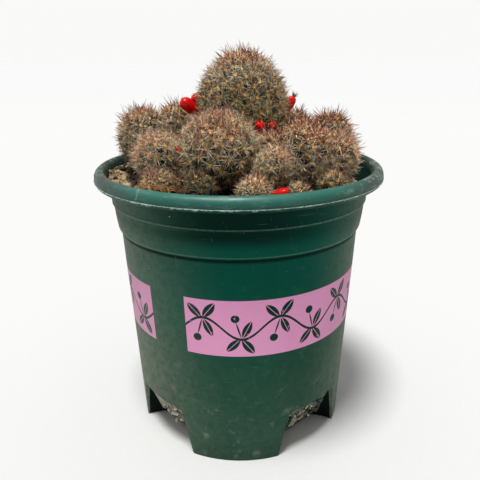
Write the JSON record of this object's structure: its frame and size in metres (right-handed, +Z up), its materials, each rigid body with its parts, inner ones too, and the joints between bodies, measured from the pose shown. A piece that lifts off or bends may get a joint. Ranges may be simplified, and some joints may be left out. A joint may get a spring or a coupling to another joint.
{
  "type": "potted round cactus",
  "caption": "Clump of round nipple cactus heads with radial spines and red berries, in a tapered green nursery pot with slotted feet.",
  "frame": {"origin": "middle of the pot's base, on the surface it stands on", "axes": "+Z up along the pot's axis, -Y towards the front"},
  "size_m": [0.125, 0.125, 0.1691],
  "materials": {
    "pot_plastic": "dark green moulded plastic, dusty and lightly scuffed, with two printed mauve bands",
    "soil": "loose potting mix of tan and brown bark and peat crumbs with pale perlite",
    "cactus": "blue-green flesh under a net of grey-white radial spines, with yellow areoles and rust-brown central spines",
    "berry": "smooth glossy scarlet fruit skin with a dried brown tip"
  },
  "bodies": {
    "root": {"pot": "pot_plastic", "soil": "soil", "head_top": "cactus", "head_front": "cactus", "head_right": "cactus", "head_right_back": "cactus", "head_right_far": "cactus", "head_right_low": "cactus", "head_mid_right": "cactus", "head_middle": "cactus", "head_bump": "cactus", "head_front_low": "cactus", "head_tiny": "cactus", "head_front_left": "cactus", "head_left_low": "cactus", "head_left_front": "cactus", "head_left": "cactus", "head_left_back": "cactus", "head_left_middle": "cactus", "head_back_left": "cactus", "head_back": "cactus", "head_back_right": "cactus", "head_far_left": "cactus", "head_far_right": "cactus", "berry_left_big": "berry", "berry_left_small": "berry", "berry_right_side": "berry", "berry_middle": "berry", "berry_middle_right": "berry", "berry_speck": "berry", "berry_rim": "berry", "berry_back": "berry", "berry_back_left": "berry"}
  },
  "joints": []
}
